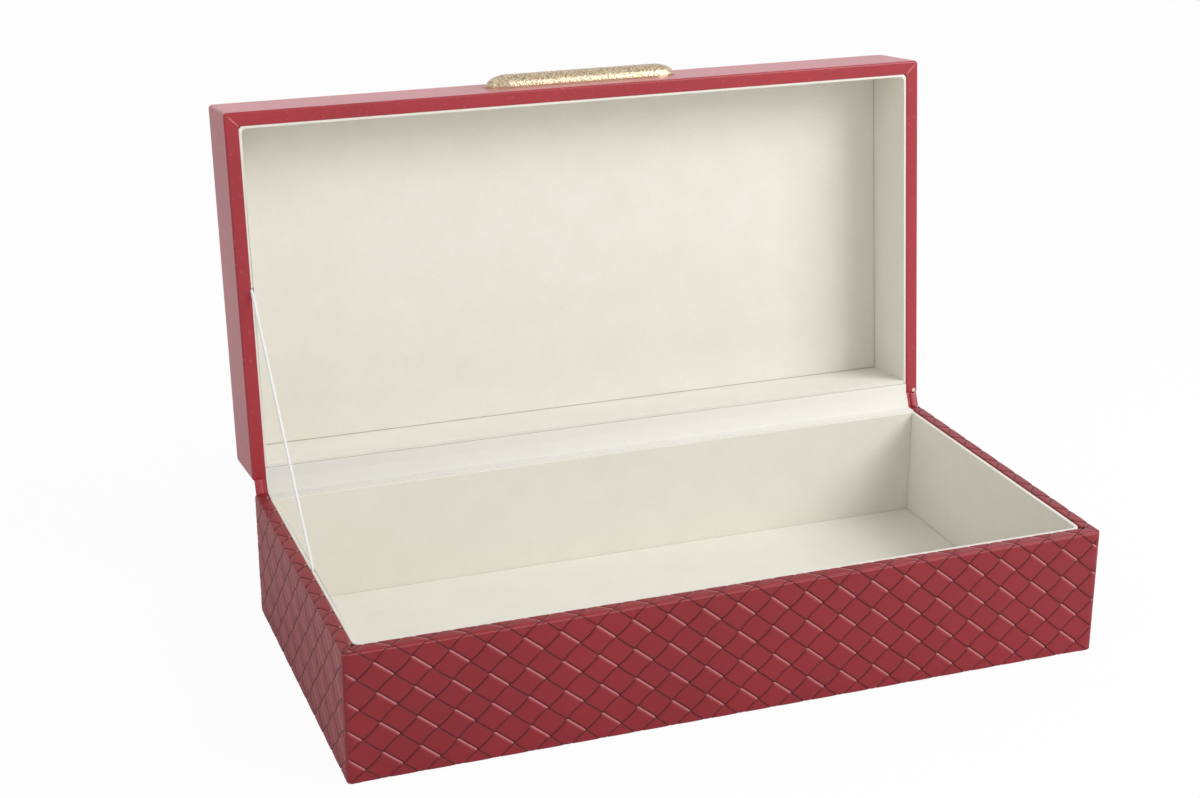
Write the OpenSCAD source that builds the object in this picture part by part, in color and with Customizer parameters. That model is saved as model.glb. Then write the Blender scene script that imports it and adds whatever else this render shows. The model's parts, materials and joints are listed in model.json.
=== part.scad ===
// Keepsake box: a covered board tray with a hinged, covered board lid, lined with velvet.
// Millimetres. The origin is the middle of the underside, +Z is up, the front faces -Y
// and the hinge runs along the top of the rear wall. The lid is drawn open on its cord stay.

/* [Box] */
// Outside width
box_w = 300; // [200:1:400]
// Outside depth, from the front wall to the hinge side
box_d = 148; // [110:1:220]
// Height of the base, from its underside to its rim
base_h = 51.6; // [36:0.2:90]
// Height of the lid, from its rim to its top
lid_h = 33.4; // [28:0.2:60]
// Radius of the upright outside corners
corner_r = 1.5; // [1.2:0.1:3]

/* [Boards] */
// Thickness of the base's wall boards
base_board_t = 3.8; // [2.5:0.1:6]
// Thickness of the base's floor board
floor_board_t = 2.4; // [1.5:0.1:5]
// Thickness of the lid's wall boards
lid_board_t = 3.4; // [2.8:0.1:6]
// Thickness of the lid's top board
top_board_t = 2.6; // [1.5:0.1:5]

/* [Covering] */
// Thickness of the leathercloth
cover_t = 0.8; // [0.5:0.1:1.1]
// How far the leathercloth is turned down inside the walls
turn_in = 9; // [4:0.5:16]
// How far the base's leathercloth is turned under the floor
turn_under = 10; // [5:0.5:20]
// Width of the mitre that stands open at the left front corner of the base's rim
mitre_open = 0.6; // [0.3:0.1:1]
// Width of the mitres that are closed
mitre_shut = 0.1; // [0.05:0.05:0.25]
// Gap in the seam between the spine and the leathercloth beside it
seam_gap = 0.15; // [0.05:0.05:0.4]
// Thickness of the underside card where it laps over the turned edge
under_lap_t = 0.4; // [0.3:0.1:1]
// Distance from the outside of the box to the edge of the underside card
under_inset = 3; // [1:0.5:4.5]

/* [Lining] */
// Thickness of the cards behind the velvet
card_t = 1; // [0.8:0.1:2]
// Thickness of the velvet
velvet_t = 0.6; // [0.5:0.1:1.2]
// How far the top edges of the lining stay behind the rims
lining_drop = 0.4; // [0.2:0.1:0.6]
// Inside radius of the bent corners of the lining
lining_bend_r = 2; // [1:0.5:5]
// Clearance round the floor pads
pad_clear = 0.15; // [0.05:0.05:0.4]

/* [Hinge] */
// Angle that the lid opens through
open_angle = 96; // [91:0.5:105]
// Height of the open lid's lower edge above the rim of the base
open_rise = 4.8; // [3.5:0.1:7]
// Distance of the open lid's lower edge behind the base
open_back = 1.6; // [0.8:0.1:2.5]
// Gap between the two rims when the box is shut
shut_gap = 0.8; // [0.7:0.1:1.2]
// Height of the spine's flaps on the backs of the lid and the base
spine_flap = 15; // [8:0.5:22]
// Distance from the sides of the box to the ends of the spine
spine_inset = 3.2; // [3:0.1:6]
// Thickness of the cloth strip inside the hinge
strip_t = 0.5; // [0.3:0.1:0.7]
// Length of the strip that goes down behind the back lining of the base
strip_flap = 9; // [4:0.5:14]
// Clearance at the ends of the strip
strip_clear = 0.1; // [0.05:0.05:0.5]

/* [Cord stay] */
// Diameter of the cord
cord_d = 1.2; // [0.8:0.1:1.3]
// Distance of the cord from the hinge side, along both rims
stay_reach = 78; // [50:1:95]
// Length of cord that is glued down behind each lining
stay_tail = 14; // [8:0.5:18]
// Clearance between the cord and its slots
cord_clear = 0.1; // [0.05:0.05:0.2]

/* [Pull] */
// Length of the pull
pull_l = 82; // [60:1:120]
// Width of the pull
pull_w = 12; // [10:0.5:16]
// Height of its dome
pull_h = 4.4; // [4:0.1:7]
// Length of each rounded end
pull_end = 9.5; // [6:0.5:14]
// Distance of the pull from the middle of the lid
pull_shift = 2; // [-10:0.5:10]
// Thickness of the polished plate under it
plate_t = 0.8; // [0.5:0.1:1.5]
// How far the plate stands out round the dome
plate_lip = 0.5; // [0.2:0.1:1]
// Distance between the two screws
screw_pitch = 50; // [30:1:56]
// Diameter of the screws
screw_d = 3; // [2:0.5:3.5]
// Depth of the screws in the pull
screw_bite = 3; // [2:0.1:3.2]
// Clearance round the screws
screw_clear = 0.2; // [0.1:0.1:0.4]
// Diameter of the screw heads
head_d = 5.5; // [5:0.1:7]
// Height of the screw heads
head_t = 1.3; // [0.8:0.1:1.5]
// Diameter of the washers
washer_d = 8; // [7.2:0.1:10]
// Thickness of the washers
washer_t = 0.5; // [0.3:0.1:0.8]

/* [Corner tacks] */
// Diameter of the tack heads
tack_head_d = 1.8; // [1.2:0.1:2.2]
// Height of the tack heads
tack_head_t = 0.3; // [0.2:0.05:0.3]
// Diameter of the tack shanks
tack_d = 0.7; // [0.5:0.1:0.9]
// Length of the tacks
tack_l = 6; // [4:0.5:12]
// Distance of the tacks from the outside of the box
tack_inset = 1.9; // [1.8:0.1:2.4]

/* [Hidden] */
$fn = 64;

half_w = box_w / 2;
half_d = box_d / 2;
lining_t = card_t + velvet_t;
base_rim = base_board_t + 2 * cover_t;
lid_rim = lid_board_t + 2 * cover_t;
// Depths below the rim of each half, measured into that half
base_board_end = base_h - under_lap_t - cover_t;
base_pad_end = base_board_end - floor_board_t;
lid_pad_end = lid_h - cover_t - top_board_t;
spine_half = half_w - spine_inset;
strip_half = half_w - max(base_rim, lid_rim) - strip_clear;
stay_y = half_d - stay_reach;
tack_pos = [half_w - tack_inset, half_d - tack_inset];
overcut = 1;

// The lower rear edge of the open lid
lid_y = half_d + open_back;
lid_z = base_h + open_rise;

// A point [y, z] of the lid, with y from its rear face and z from its rim, as [y, z] of the open box
function on_lid(p) = [
    lid_y + p[0] * cos(open_angle) + p[1] * sin(open_angle),
    lid_z - p[0] * sin(open_angle) + p[1] * cos(open_angle),
];

// The line that the lid turns about: as far from the open edge as from the shut one
shut_edge = [half_d, base_h + shut_gap];
edge_move = shut_edge - [lid_y, lid_z];
axis_off = 0.5 / tan(open_angle / 2);
hinge_y = lid_y + edge_move[0] / 2 - edge_move[1] * axis_off;
hinge_z = lid_z + edge_move[1] / 2 + edge_move[0] * axis_off;
echo(hinge_y = hinge_y, hinge_z = hinge_z);

cover_red = [0.56, 0.16, 0.2];
lid_red = [0.63, 0.18, 0.22];
velvet_cream = [0.86, 0.84, 0.79];
card_grey = [0.72, 0.69, 0.62];
board_tan = [0.7, 0.58, 0.42];
pale_gold = [0.85, 0.71, 0.48];
steel = [0.7, 0.7, 0.72];

// Both halves are drawn in one frame: the rim is at z = 0 and z grows into the half
module in_base() {
    translate([0, 0, base_h]) mirror([0, 0, 1]) children();
}

module in_lid() {
    translate([0, lid_y, lid_z]) rotate([-open_angle, 0, 0]) translate([0, -half_d, 0]) children();
}

// The box's plan, drawn in by inset, with its round upright corners
module plan(inset) {
    r = max(corner_r - inset, 0);
    w = box_w - 2 * inset;
    d = box_d - 2 * inset;
    square([w - 2 * r, d], center = true);
    if (r > 0) {
        square([w, d - 2 * r], center = true);
        for (x = [-1, 1], y = [-1, 1])
            translate([x * (w / 2 - r), y * (d / 2 - r)]) circle(r = r);
    }
}

// A plan inside the walls, from the front to y = rear, with front corners of radius r
module tray_plan(inset, rear, r) {
    w = half_w - inset;
    front = inset - half_d;
    translate([-w, front + r]) square([2 * w, rear - front - r]);
    translate([r - w, front]) square([2 * (w - r), 2 * r]);
    for (x = [-1, 1])
        translate([x * (w - r), front + r]) circle(r = r);
}

// A slab of the plan between two depths below the rim
module between(top, end) {
    translate([0, 0, top]) linear_extrude(end - top) children();
}

// Walls. rim is the width of the rim, with leathercloth on both faces
module front_board(rim, end) {
    t = rim - 2 * cover_t;
    between(cover_t, end) intersection() {
        plan(cover_t);
        translate([-half_w, cover_t - half_d]) square([box_w, t]);
    }
}

module side_board(side, rim, end) {
    t = rim - 2 * cover_t;
    inner = half_w - rim + cover_t;
    x = side < 0 ? -inner - t : inner;
    between(cover_t, end)
        translate([x, rim - cover_t - half_d]) square([t, box_d - 2 * rim + cover_t]);
}

// The back board has no leathercloth on its inner face, and is that much thicker
module back_board(rim, end) {
    difference() {
        between(min(strip_t, cover_t), end) intersection() {
            plan(cover_t);
            translate([-half_w, half_d - rim]) square([box_w, rim - cover_t]);
        }
        side_rims(rim);
        strip_on_rim(rim);
        spine_room(0);
        tack_shape(0);
    }
}

// The leathercloth over the rims of the two sides, back to the hinge
module side_rims(rim) {
    for (x = [-half_w - overcut, half_w - rim])
        translate([x, -half_d, -overcut]) cube([rim + overcut, box_d, cover_t + overcut]);
}

module strip_on_rim(rim) {
    translate([-strip_half, half_d - rim, -overcut])
        cube([2 * strip_half, rim, strip_t + overcut]);
}

// The space that the spine's flap takes in the back of a half, and a gap round it
module spine_room(gap) {
    translate([-spine_half - gap, half_d - cover_t, -overcut])
        cube([2 * (spine_half + gap), cover_t + overcut, spine_flap + gap + overcut]);
}

// Leathercloth round the walls, over the rim and down inside the front and the sides
module wall_cover(rim, end, left_mitre) {
    difference() {
        union() {
            between(0, end) difference() {
                plan(0);
                plan(cover_t);
            }
            between(0, cover_t) difference() {
                plan(0);
                translate([rim - half_w, rim - half_d]) square([box_w - 2 * rim, box_d]);
            }
            between(0, turn_in) difference() {
                rim_room(rim - cover_t, half_d - rim);
                rim_room(rim, half_d);
            }
        }
        spine_room(seam_gap);
        mitre(-1, rim, left_mitre);
        mitre(1, rim, mitre_shut);
        tack_shape(0);
    }
}

module rim_room(inset, rear) {
    translate([inset - half_w, inset - half_d])
        square([box_w - 2 * inset, rear + half_d - inset]);
}

// The cut where the turned leathercloth of the front meets that of a side
module mitre(side, rim, width) {
    long = rim * sqrt(2) + overcut;
    translate([side * (half_w - cover_t), cover_t - half_d, -overcut])
        rotate([0, 0, side < 0 ? 45 : 135]) translate([0, -width / 2, 0])
            cube([long, width, turn_in + 2 * overcut]);
}

// Lining of the left wall, the front and the right wall: one bent strip of card with
// velvet on its face and over its edge. rear is where it stops short of the back wall.
module wall_card(rim, rear, end) {
    difference() {
        between(lining_drop + velvet_t, end) difference() {
            tray_plan(rim, rear, lining_bend_r + lining_t);
            tray_plan(rim + card_t, rear + overcut, lining_bend_r + velvet_t);
        }
        cord_slot(rim);
    }
}

module wall_velvet(rim, rear, end) {
    difference() {
        between(lining_drop, end) difference() {
            tray_plan(rim, rear, lining_bend_r + lining_t);
            tray_plan(rim + lining_t, rear + overcut, lining_bend_r);
        }
        between(lining_drop + velvet_t, end + overcut) difference() {
            tray_plan(rim, rear + overcut, lining_bend_r + lining_t);
            tray_plan(rim + card_t, rear + 2 * overcut, lining_bend_r + velvet_t);
        }
        cord_slot(rim);
    }
}

module cord_slot(rim) {
    translate([rim - half_w - overcut, stay_y - cord_d / 2 - cord_clear, -overcut])
        cube([cord_d + cord_clear + overcut, cord_d + 2 * cord_clear,
              stay_tail + cord_d + overcut]);
}

// Lining of the back wall, between the other lining's ends. rear is the plane behind it.
module back_card(rim, rear, end) {
    between(lining_drop + velvet_t, end) back_plan(rim, rear, card_t);
}

module back_velvet(rim, rear, end) {
    difference() {
        between(lining_drop, end) back_plan(rim, rear, lining_t);
        between(lining_drop + velvet_t, end + overcut) back_plan(rim, rear + overcut, card_t + overcut);
    }
}

module back_plan(rim, rear, t) {
    w = half_w - rim - lining_t;
    translate([-w, rear - t]) square([2 * w, t]);
}

// A flat pad on the floor or under the lid's top
module pad(rim, rear, top, end) {
    between(top, end)
        tray_plan(rim + lining_t + pad_clear, rear - lining_t - pad_clear, lining_bend_r);
}

// Base
base_rear = half_d - base_rim - strip_t;

module base_floor_board() {
    color(board_tan) in_base() between(base_pad_end, base_board_end)
        rim_room(base_rim - cover_t, half_d - base_rim);
}

module base_front_board() {
    color(board_tan) in_base() front_board(base_rim, base_board_end);
}

module base_back_board() {
    color(board_tan) in_base() back_board(base_rim, base_board_end);
}

module base_left_board() {
    color(board_tan) in_base() side_board(-1, base_rim, base_board_end);
}

module base_right_board() {
    color(board_tan) in_base() side_board(1, base_rim, base_board_end);
}

module base_woven_cover() {
    color(cover_red) in_base() {
        wall_cover(base_rim, base_h - under_lap_t, mitre_open);
        between(base_board_end, base_h - under_lap_t) difference() {
            plan(0);
            plan(turn_under);
        }
    }
}

module base_underside_card() {
    color(card_grey) in_base() {
        between(base_h - under_lap_t, base_h) plan(under_inset);
        between(base_board_end, base_h) plan(turn_under);
    }
}

module base_wall_card() {
    color(card_grey) in_base() wall_card(base_rim, base_rear, base_pad_end);
}

module base_wall_velvet() {
    color(velvet_cream) in_base() wall_velvet(base_rim, base_rear, base_pad_end);
}

module base_back_card() {
    color(card_grey) in_base() back_card(base_rim, base_rear, base_pad_end);
}

module base_back_velvet() {
    color(velvet_cream) in_base() back_velvet(base_rim, base_rear, base_pad_end);
}

module base_floor_card() {
    color(card_grey) in_base() pad(base_rim, base_rear, base_pad_end - card_t, base_pad_end);
}

module base_floor_velvet() {
    color(velvet_cream) in_base()
        pad(base_rim, base_rear, base_pad_end - lining_t, base_pad_end - card_t);
}

// Lid
lid_rear = half_d - lid_rim;

module lid_top_board() {
    color(board_tan) in_lid() between(lid_pad_end, lid_h - cover_t) plan(cover_t);
}

module lid_front_board() {
    color(board_tan) in_lid() difference() {
        front_board(lid_rim, lid_pad_end);
        screw_hole(screw_d + screw_clear);
        at_screws() translate([0, 0, washer_top])
            cylinder(d = washer_d + screw_clear, h = lid_board_t);
    }
}

module lid_back_board() {
    color(board_tan) in_lid() back_board(lid_rim, lid_pad_end);
}

module lid_left_board() {
    color(board_tan) in_lid() side_board(-1, lid_rim, lid_pad_end);
}

module lid_right_board() {
    color(board_tan) in_lid() side_board(1, lid_rim, lid_pad_end);
}

module lid_cover() {
    color(lid_red) in_lid() {
        difference() {
            wall_cover(lid_rim, lid_h, mitre_shut);
            screw_hole(screw_d + screw_clear);
        }
        between(lid_h - cover_t, lid_h) plan(0);
    }
}

module lid_wall_card() {
    color(card_grey) in_lid() wall_card(lid_rim, lid_rear, lid_pad_end);
}

module lid_wall_velvet() {
    color(velvet_cream) in_lid() wall_velvet(lid_rim, lid_rear, lid_pad_end);
}

module lid_back_card() {
    color(card_grey) in_lid() back_card(lid_rim, lid_rear, lid_pad_end);
}

module lid_back_velvet() {
    color(velvet_cream) in_lid() back_velvet(lid_rim, lid_rear, lid_pad_end);
}

module lid_top_card() {
    color(card_grey) in_lid() pad(lid_rim, lid_rear, lid_pad_end - card_t, lid_pad_end);
}

module lid_top_velvet() {
    color(velvet_cream) in_lid()
        pad(lid_rim, lid_rear, lid_pad_end - lining_t, lid_pad_end - card_t);
}

// Hinge. Both pieces are drawn as sections [y, z] and run the length of the hinge.
module along_hinge(half) {
    translate([-half, 0, 0]) rotate([90, 0, 90]) linear_extrude(2 * half) children();
}

module hinge_spine() {
    base_in = half_d - cover_t;
    color(lid_red) along_hinge(spine_half) polygon([
        [base_in, base_h - spine_flap], [base_in, base_h],
        on_lid([-cover_t, 0]), on_lid([-cover_t, spine_flap]),
        on_lid([0, spine_flap]), on_lid([0, 0]),
        [half_d, base_h], [half_d, base_h - spine_flap],
    ]);
}

module hinge_inner_strip() {
    base_in = half_d - cover_t;
    flap = half_d - base_rim;
    color(velvet_cream) along_hinge(strip_half) polygon([
        [flap - strip_t, base_h - strip_flap], [flap - strip_t, base_h],
        [base_in - strip_t, base_h], on_lid([-cover_t - strip_t, 0]),
        on_lid([-lid_rim, 0]), on_lid([-lid_rim, strip_t]),
        on_lid([-cover_t, strip_t]), on_lid([-cover_t, 0]),
        [base_in, base_h], [base_in, base_h - strip_t],
        [flap, base_h - strip_t], [flap, base_h - strip_flap],
    ]);
}

// Cord stay: glued down behind the lining of the base, straight between the rims, and
// glued down behind the lining of the lid
function stay_x(rim) = rim + (cord_d + cord_clear) / 2 - half_w;

function stay_on_lid(depth) = let (p = on_lid([-stay_reach, depth]))
    [stay_x(lid_rim), p[0], p[1]];

stay_line = [
    [stay_x(base_rim), stay_y, base_h - stay_tail],
    [stay_x(base_rim), stay_y, base_h],
    stay_on_lid(0),
    stay_on_lid(stay_tail),
];
tube_sides = 8;

function unit(v) = v / norm(v);

// The corners of a tube's ring at a point of its line, mitred where the line bends
function tube_ring(line, i, r) = let (
        a = max(i, 1),
        b = min(i, len(line) - 2),
        before = unit(line[a] - line[a - 1]),
        n = unit(before + unit(line[b + 1] - line[b])),
        v = unit(cross(n, [1, 0, 0])),
        u = cross(v, n))
    [for (j = [0:tube_sides - 1]) let (turn = 360 * j / tube_sides)
        line[i] + r * cos(turn) * u + r * sin(turn) / (n * before) * v];

module tube(line, d) {
    last = (len(line) - 1) * tube_sides;
    side = [0:tube_sides - 1];
    polyhedron(
        points = [for (i = [0:len(line) - 1]) each tube_ring(line, i, d / 2)],
        faces = [
            [for (j = side) j],
            for (i = [0:tube_sides:last - 1], j = side) let (k = (j + 1) % tube_sides)
                each [
                    [i + j, i + tube_sides + j, i + tube_sides + k],
                    [i + j, i + tube_sides + k, i + k],
                ],
            [for (j = side) last + tube_sides - 1 - j],
        ]);
}

module stay_cord() {
    color("white") tube(stay_line, cord_d);
}

// Pull. at_screws() puts z = 0 on the outer face of the lid's front, with z growing inwards.
washer_top = cover_t + lid_board_t - washer_t - head_t;

module at_screws() {
    for (x = [-1, 1])
        translate([pull_shift + x * screw_pitch / 2, -half_d, lid_h / 2]) rotate([-90, 0, 0])
            children();
}

module screw_hole(d) {
    at_screws() translate([0, 0, -overcut]) cylinder(d = d, h = washer_top + 2 * overcut);
}

// The pull's outline, w wide, with long round ends. z grows out of the lid's front.
module pull_form(w, h, dome) {
    grow = w - pull_w;
    reach = pull_l / 2 - pull_end;
    translate([pull_shift, -half_d, lid_h / 2]) rotate([90, 0, 0]) hull()
        for (x = [-reach, reach]) translate([x, 0, 0])
            if (dome)
                scale([pull_end + grow / 2, w / 2, h]) sphere(r = 1, $fn = 32);
            else
                scale([pull_end + grow / 2, w / 2, h]) cylinder(r = 1, h = 1, $fn = 48);
}

module pull_plate() {
    color(pale_gold) in_lid() difference() {
        pull_form(pull_w + 2 * plate_lip, plate_t, false);
        at_screws() translate([0, 0, -plate_t - overcut])
            cylinder(d = screw_d + screw_clear, h = plate_t + 2 * overcut);
    }
}

module pull_bar() {
    color(pale_gold) in_lid() translate([0, -plate_t, 0]) difference() {
        pull_form(pull_w, pull_h, true);
        pull_back();
        at_screws() translate([0, 0, -screw_bite - screw_clear])
            cylinder(d = screw_d, h = screw_bite + screw_clear + overcut);
    }
}

// What the flat back cuts off the pull's dome
module pull_back() {
    translate([pull_shift - pull_l, -half_d, -lid_h]) cube([2 * pull_l, 2 * pull_h, 3 * lid_h]);
}

module pull_screws() {
    shank_end = -plate_t - screw_bite;
    color(steel) in_lid() at_screws() {
        translate([0, 0, washer_top + washer_t]) cylinder(d = head_d, h = head_t);
        translate([0, 0, shank_end])
            cylinder(d = screw_d, h = washer_top + washer_t - shank_end);
    }
}

module pull_washers() {
    color(steel) in_lid() at_screws() translate([0, 0, washer_top]) difference() {
        cylinder(d = washer_d, h = washer_t);
        translate([0, 0, -overcut]) cylinder(d = screw_d + screw_clear, h = washer_t + 2 * overcut);
    }
}

// Corner tacks: one through the rim at the right end of the hinge, in each half
module tack_shape(head_t) {
    translate([tack_pos[0], tack_pos[1], 0]) {
        translate([0, 0, -head_t]) cylinder(d = tack_d, h = tack_l + head_t);
        if (head_t > 0) translate([0, 0, -head_t]) cylinder(d = tack_head_d, h = head_t);
    }
}

module base_corner_tack() {
    color(pale_gold) in_base() tack_shape(tack_head_t);
}

module lid_corner_tack() {
    color(pale_gold) in_lid() tack_shape(tack_head_t);
}

base_floor_board();
base_front_board();
base_back_board();
base_left_board();
base_right_board();
base_woven_cover();
base_underside_card();
base_wall_card();
base_wall_velvet();
base_back_card();
base_back_velvet();
base_floor_card();
base_floor_velvet();
base_corner_tack();
hinge_spine();
hinge_inner_strip();
stay_cord();
lid_top_board();
lid_front_board();
lid_back_board();
lid_left_board();
lid_right_board();
lid_cover();
lid_wall_card();
lid_wall_velvet();
lid_back_card();
lid_back_velvet();
lid_top_card();
lid_top_velvet();
lid_corner_tack();
pull_plate();
pull_bar();
pull_screws();
pull_washers();
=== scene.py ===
# Keepsake box: woven leathercloth base, smooth hinged lid, velvet lining, cord stay.
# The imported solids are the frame. Metres, +Z up, the front faces -Y.
import json
import math

import bmesh
import bpy
from mathutils import Matrix, Vector, noise
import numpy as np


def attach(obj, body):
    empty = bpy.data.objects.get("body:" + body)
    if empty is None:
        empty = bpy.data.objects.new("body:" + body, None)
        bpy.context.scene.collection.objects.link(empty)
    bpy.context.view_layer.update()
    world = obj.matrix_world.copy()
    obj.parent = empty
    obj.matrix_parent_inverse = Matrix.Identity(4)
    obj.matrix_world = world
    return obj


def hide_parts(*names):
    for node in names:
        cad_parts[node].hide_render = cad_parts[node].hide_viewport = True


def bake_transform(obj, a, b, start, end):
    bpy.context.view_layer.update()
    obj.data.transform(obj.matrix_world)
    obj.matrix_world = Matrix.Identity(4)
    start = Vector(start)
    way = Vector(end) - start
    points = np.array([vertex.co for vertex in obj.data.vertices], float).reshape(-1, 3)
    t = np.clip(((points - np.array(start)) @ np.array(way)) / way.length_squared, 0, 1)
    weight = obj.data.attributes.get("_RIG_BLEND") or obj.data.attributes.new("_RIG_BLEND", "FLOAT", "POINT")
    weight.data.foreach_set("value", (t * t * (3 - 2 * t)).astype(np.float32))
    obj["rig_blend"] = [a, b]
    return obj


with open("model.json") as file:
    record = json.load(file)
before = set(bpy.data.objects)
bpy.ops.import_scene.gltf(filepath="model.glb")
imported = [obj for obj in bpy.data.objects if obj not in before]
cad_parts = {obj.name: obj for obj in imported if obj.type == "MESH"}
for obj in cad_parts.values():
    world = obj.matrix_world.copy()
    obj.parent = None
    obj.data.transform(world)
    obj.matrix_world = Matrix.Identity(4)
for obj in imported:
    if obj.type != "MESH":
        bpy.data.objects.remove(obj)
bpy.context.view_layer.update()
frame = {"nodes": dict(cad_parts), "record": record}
mm = 0.001
up = Vector((0, 0, 1))
cutDistance = 1e-7      # a point this near to a cut lies on it
weld = 0.004 * mm       # points of a new sheet nearer to each other than this become one
nodeWeld = 0.002 * mm   # and the same for a copy of a CAD node
speck = 0.001 * mm      # an edge shorter than this goes
hair = 0.01 * mm        # a distance too small to see
sharpAngle = math.radians(35)
flatAngle = math.radians(0.5)

# The box's own sizes, as the solids have them
box = {
    "halfWidth": 150 * mm,
    "halfDepth": 74 * mm,
    "baseHeight": 51.6 * mm,
    "lidHeight": 33.4 * mm,
    "baseRim": 5.4 * mm,
    "cornerRadius": 1.5 * mm,
    "openAngle": math.radians(96),
    "lidEdge": Vector((0, 75.6 * mm, 56.4 * mm)),
}


def inLid():
    # From a half as its solids are drawn, rim down and rear edge at +Y, to the open lid
    toEdge = Matrix.Translation((0, -box["halfDepth"], 0))
    return Matrix.Translation(box["lidEdge"]) @ Matrix.Rotation(-box["openAngle"], 4, "X") @ toEdge


# Shader maths as expressions
class Wire:
    def __init__(self, finish, socket):
        self.finish, self.socket = finish, socket

    def calc(self, operation, *values):
        return self.finish.node("ShaderNodeMath", {"operation": operation}, dict(enumerate(values)))

    def __add__(self, other):
        return self.calc("ADD", self, other)

    def __mul__(self, other):
        return self.calc("MULTIPLY", self, other)

    def __rsub__(self, other):
        return self.calc("SUBTRACT", other, self)

    __radd__ = __add__
    __rmul__ = __mul__


# The nodes of a material, or of the world
class Finish:
    def __init__(self, name, owner=None):
        self.owner = owner or bpy.data.materials.new(name)
        self.owner.use_nodes = True
        self.tree = self.owner.node_tree
        self.tree.nodes.clear()

    def node(self, kind, settings=None, inputs=None, output=0):
        made = self.tree.nodes.new(kind)
        for key, value in (settings or {}).items():
            setattr(made, key, value)
        for key, value in (inputs or {}).items():
            if isinstance(value, Wire):
                self.tree.links.new(value.socket, made.inputs[key])
            else:
                made.inputs[key].default_value = value
        return Wire(self, made.outputs[output]) if made.outputs else None

    def place(self):
        return self.node("ShaderNodeTexCoord", output="Object")

    def attribute(self, name):
        return self.node("ShaderNodeAttribute", {"attribute_name": name}, output="Fac")

    def noise(self, size, detail=3, roughness=0.5, stretch=(1, 1, 1)):
        mapped = self.node("ShaderNodeMapping", inputs={"Vector": self.place(), "Scale": stretch})
        inputs = {"Vector": mapped, "Scale": 1 / size, "Detail": detail, "Roughness": roughness}
        return self.node("ShaderNodeTexNoise", inputs=inputs)

    def cells(self, size, feature="F1"):
        inputs = {"Vector": self.place(), "Scale": 1 / size}
        return self.node("ShaderNodeTexVoronoi", {"feature": feature}, inputs, "Distance")

    def span(self, value, low, high, out=(0.0, 1.0)):
        inputs = {"Value": value, "From Min": low, "From Max": high, "To Min": out[0], "To Max": out[1]}
        return self.node("ShaderNodeMapRange", inputs=inputs)

    def mix(self, factor, first, second):
        inputs = {0: factor}
        for key, colour in ((6, first), (7, second)):
            inputs[key] = colour if isinstance(colour, Wire) else (*colour, 1)
        return self.node("ShaderNodeMix", {"data_type": "RGBA"}, inputs, 2)

    def bump(self, height, depth, strength=1.0, under=None):
        inputs = {"Height": height, "Distance": depth, "Strength": strength}
        if under:
            inputs["Normal"] = under
        return self.node("ShaderNodeBump", inputs=inputs)

    def surface(self, **inputs):
        named = {key.replace("_", " "): value for key, value in inputs.items()}
        return self.close(self.node("ShaderNodeBsdfPrincipled", inputs=named))

    def close(self, shader, end="ShaderNodeOutputMaterial"):
        self.node(end, inputs={"Surface": shader})
        return self.owner


middle = (0.3, 0.7)   # most of a noise's values lie in this range

# Leathercloth: shades are parts of the colour, grain is the size of its pores
leathercloth = {
    "shades": (0.9, 1.06),
    "patch": 40 * mm,
    "mottle": 1.1 * mm,
    "grainDepth": 0.06 * mm,
    "roughness": (0.36, 0.5),
    "sheenTint": (1, 0.55, 0.6, 1),
    # Painted shade in the weave's grooves
    "groove": (0.035, 0.001, 0.003),
    # Painted highlight along the tiles' raised edges and along the bend on to the rim
    "paintedHighlight": (0.68, 0.25, 0.26),
    "wrinkle": (0.6, 0.15, 0.17),
    "wrinkleSize": 1.6 * mm,
    # Painted highlight along the lid's mitre folds
    "fold": (0.72, 0.28, 0.28),
}
wovenCloth = {"colour": (0.255, 0.012, 0.02), "grain": 0.55 * mm, "coat": 0.12, "sheen": 0.08}
plainCloth = {"colour": (0.36, 0.016, 0.028), "grain": 0.6 * mm, "coat": 0.5, "sheen": 0.4}


def makeLeathercloth(name, cloth, woven):
    f = Finish(name)
    dark, light = [[c * shade for c in cloth["colour"]] for shade in leathercloth["shades"]]
    red = f.mix(f.span(f.noise(leathercloth["patch"], 3), 0.35, 0.65), dark, light)
    red = f.mix(f.span(f.noise(leathercloth["mottle"], 3), *middle) * 0.6, red, dark)
    if woven:
        # Painted shade darkens the weave's grooves
        red = f.mix(f.attribute("groove") * 0.95, red, leathercloth["groove"])
        # Painted highlight along the raised tile edges and the rim's bend
        red = f.mix(f.attribute("paintedHighlight") * 0.85, red, leathercloth["paintedHighlight"])
    else:
        wrinkles = f.span(f.noise(leathercloth["wrinkleSize"], 4, 0.6, (1, 0.25, 1)), 0.6, 0.72)
        red = f.mix(wrinkles * 0.3, red, leathercloth["wrinkle"])
        # Painted highlight along the mitre folds
        red = f.mix(f.attribute("paintedHighlight") * 0.8, red, leathercloth["fold"])
    pores = f.span(f.cells(cloth["grain"]), 0.0, 0.7)
    creases = f.noise(cloth["grain"] * 3.2, 4, 0.6)
    return f.surface(
        Base_Color=red, Roughness=f.span(creases, *middle, leathercloth["roughness"]),
        Normal=f.bump(pores * 0.5 + creases, leathercloth["grainDepth"], 0.55),
        Specular_IOR_Level=0.3, Coat_Weight=cloth["coat"], Coat_Roughness=0.3,
        Sheen_Weight=cloth["sheen"], Sheen_Roughness=0.4, Sheen_Tint=leathercloth["sheenTint"])


velvet = {
    "colour": (0.82, 0.798, 0.73),
    "shade": (0.88, 0.87, 0.84),   # a part of the colour, where the nap lies dark
    "mottle": 0.9 * mm,
    "patch": 14 * mm,
    "nap": 0.28 * mm,
    "brushed": 2.4 * mm,
    "depth": 0.1 * mm,
}


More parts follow.
